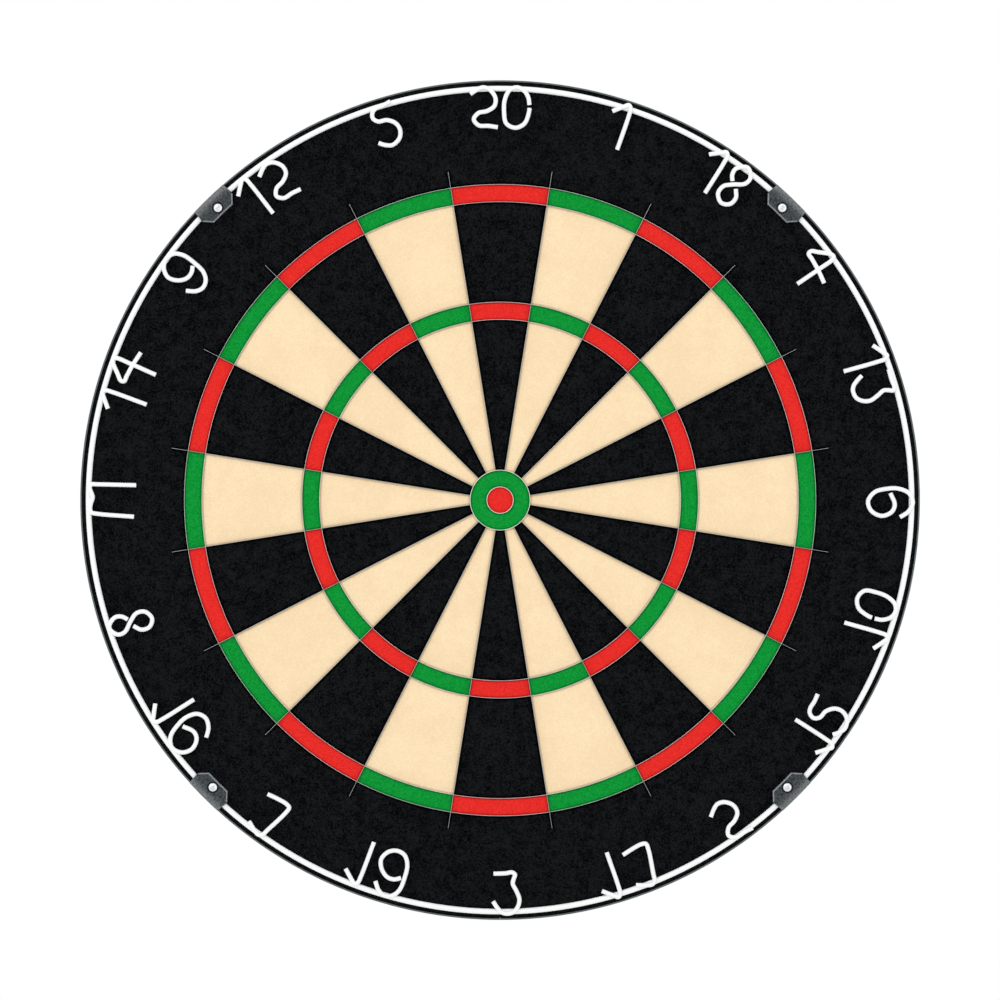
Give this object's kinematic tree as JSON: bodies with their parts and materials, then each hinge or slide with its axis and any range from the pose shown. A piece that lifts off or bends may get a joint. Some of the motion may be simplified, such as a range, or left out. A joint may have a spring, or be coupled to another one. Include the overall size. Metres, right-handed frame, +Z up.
{
  "type": "bristle dartboard",
  "caption": "Round bristle dartboard in a steel band, with blades between the beds, a wire number ring on pinned clips, a hanging screw and levelling wheels behind.",
  "frame": {"origin": "centre of the back face, on the axis of the hanging screw", "axes": "+Z up through the middle of the twenty, the face looks along -Y, +Y goes into the wall, +X is the thrower's right"},
  "size_m": [0.451, 0.0571, 0.451],
  "materials": {
    "band": "satin dark grey enamel on rolled steel strip",
    "steel": "bright zinc plate",
    "fibreboard": "bare pressed fibreboard",
    "rear_sisal": "undyed compressed sisal fibre, end grain",
    "face_sisal": "compressed sisal fibre, end grain, dyed black with cream, red and green beds, matt",
    "blade_steel": "thin bright steel strip on edge",
    "ring_wire": "white gloss coating on steel wire",
    "clip_plastic": "dark grey moulding, fine ribs at the rim",
    "pin_steel": "bright domed heads",
    "leveller_plastic": "black moulding"
  },
  "bodies": {
    "board": {"rim_band": "band", "band_joint_plate": "steel", "band_rivet_1": "steel", "band_rivet_2": "steel", "backboard": "fibreboard", "sisal_rear_layer": "rear_sisal", "sisal_face_layer": "face_sisal", "radial_blade_01": "blade_steel", "radial_blade_02": "blade_steel", "radial_blade_03": "blade_steel", "radial_blade_04": "blade_steel", "radial_blade_05": "blade_steel", "radial_blade_06": "blade_steel", "radial_blade_07": "blade_steel", "radial_blade_08": "blade_steel", "radial_blade_09": "blade_steel", "radial_blade_10": "blade_steel", "radial_blade_11": "blade_steel", "radial_blade_12": "blade_steel", "radial_blade_13": "blade_steel", "radial_blade_14": "blade_steel", "radial_blade_15": "blade_steel", "radial_blade_16": "blade_steel", "radial_blade_17": "blade_steel", "radial_blade_18": "blade_steel", "radial_blade_19": "blade_steel", "radial_blade_20": "blade_steel", "double_outer_blade": "blade_steel", "double_inner_blade": "blade_steel", "treble_outer_blade": "blade_steel", "treble_inner_blade": "blade_steel", "outer_bull_blade": "blade_steel", "inner_bull_blade": "blade_steel", "hanging_plate": "steel", "hanging_screw": "steel", "plate_screw_1": "steel", "plate_screw_2": "steel", "plate_screw_3": "steel", "leveller_socket_1": "leveller_plastic", "leveller_socket_2": "leveller_plastic", "leveller_socket_3": "leveller_plastic"},
    "ring": {"number_ring": "ring_wire"},
    "clip_1": {"ring_clip_1": "clip_plastic", "clip_pin_1": "pin_steel"},
    "clip_2": {"ring_clip_2": "clip_plastic", "clip_pin_2": "pin_steel"},
    "clip_3": {"ring_clip_3": "clip_plastic", "clip_pin_3": "pin_steel"},
    "clip_4": {"ring_clip_4": "clip_plastic", "clip_pin_4": "pin_steel"},
    "wheel_1": {"levelling_wheel_1": "leveller_plastic"},
    "wheel_2": {"levelling_wheel_2": "leveller_plastic"},
    "wheel_3": {"levelling_wheel_3": "leveller_plastic"},
    "foot_1": {"levelling_foot_1": "leveller_plastic"},
    "foot_2": {"levelling_foot_2": "leveller_plastic"},
    "foot_3": {"levelling_foot_3": "leveller_plastic"}
  },
  "joints": [
    {"name": "clip_1_pull", "type": "slide", "parent": "board", "child": "clip_1", "axis": [0, -1, 0], "range_m": [0, 0.03]},
    {"name": "clip_2_pull", "type": "slide", "parent": "board", "child": "clip_2", "axis": [0, -1, 0], "range_m": [0, 0.03]},
    {"name": "clip_3_pull", "type": "slide", "parent": "board", "child": "clip_3", "axis": [0, -1, 0], "range_m": [0, 0.03]},
    {"name": "clip_4_pull", "type": "slide", "parent": "board", "child": "clip_4", "axis": [0, -1, 0], "range_m": [0, 0.03]},
    {"name": "number_ring_lift", "type": "slide", "parent": "board", "child": "ring", "axis": [0, -1, 0], "range_m": [0, 0.018]},
    {"name": "wheel_1_turn", "type": "hinge", "parent": "board", "child": "wheel_1", "pos_m": [0, 0.0065, 0.15], "axis": [0, 1, 0], "range_deg": [0, 720]},
    {"name": "foot_1_travel", "type": "slide", "parent": "board", "child": "foot_1", "axis": [0, 1, 0], "range_m": [0, 0.005]},
    {"name": "wheel_2_turn", "type": "hinge", "parent": "board", "child": "wheel_2", "pos_m": [0.1299, 0.0065, -0.075], "axis": [0, 1, 0], "range_deg": [0, 720]},
    {"name": "foot_2_travel", "type": "slide", "parent": "board", "child": "foot_2", "axis": [0, 1, 0], "range_m": [0, 0.005]},
    {"name": "wheel_3_turn", "type": "hinge", "parent": "board", "child": "wheel_3", "pos_m": [-0.1299, 0.0065, -0.075], "axis": [0, 1, 0], "range_deg": [0, 720]},
    {"name": "foot_3_travel", "type": "slide", "parent": "board", "child": "foot_3", "axis": [0, 1, 0], "range_m": [0, 0.005]}
  ],
  "couplings": [
    {"joint": "clip_2_pull", "follows": "clip_1_pull", "ratio": 1},
    {"joint": "clip_3_pull", "follows": "clip_1_pull", "ratio": 1},
    {"joint": "clip_4_pull", "follows": "clip_1_pull", "ratio": 1},
    {"joint": "number_ring_lift", "follows": "clip_1_pull", "ratio": 0.6},
    {"joint": "foot_1_travel", "follows": "wheel_1_turn", "m_per_rad": 0.00039788},
    {"joint": "foot_2_travel", "follows": "wheel_2_turn", "m_per_rad": 0.00039788},
    {"joint": "foot_3_travel", "follows": "wheel_3_turn", "m_per_rad": 0.00039788}
  ]
}
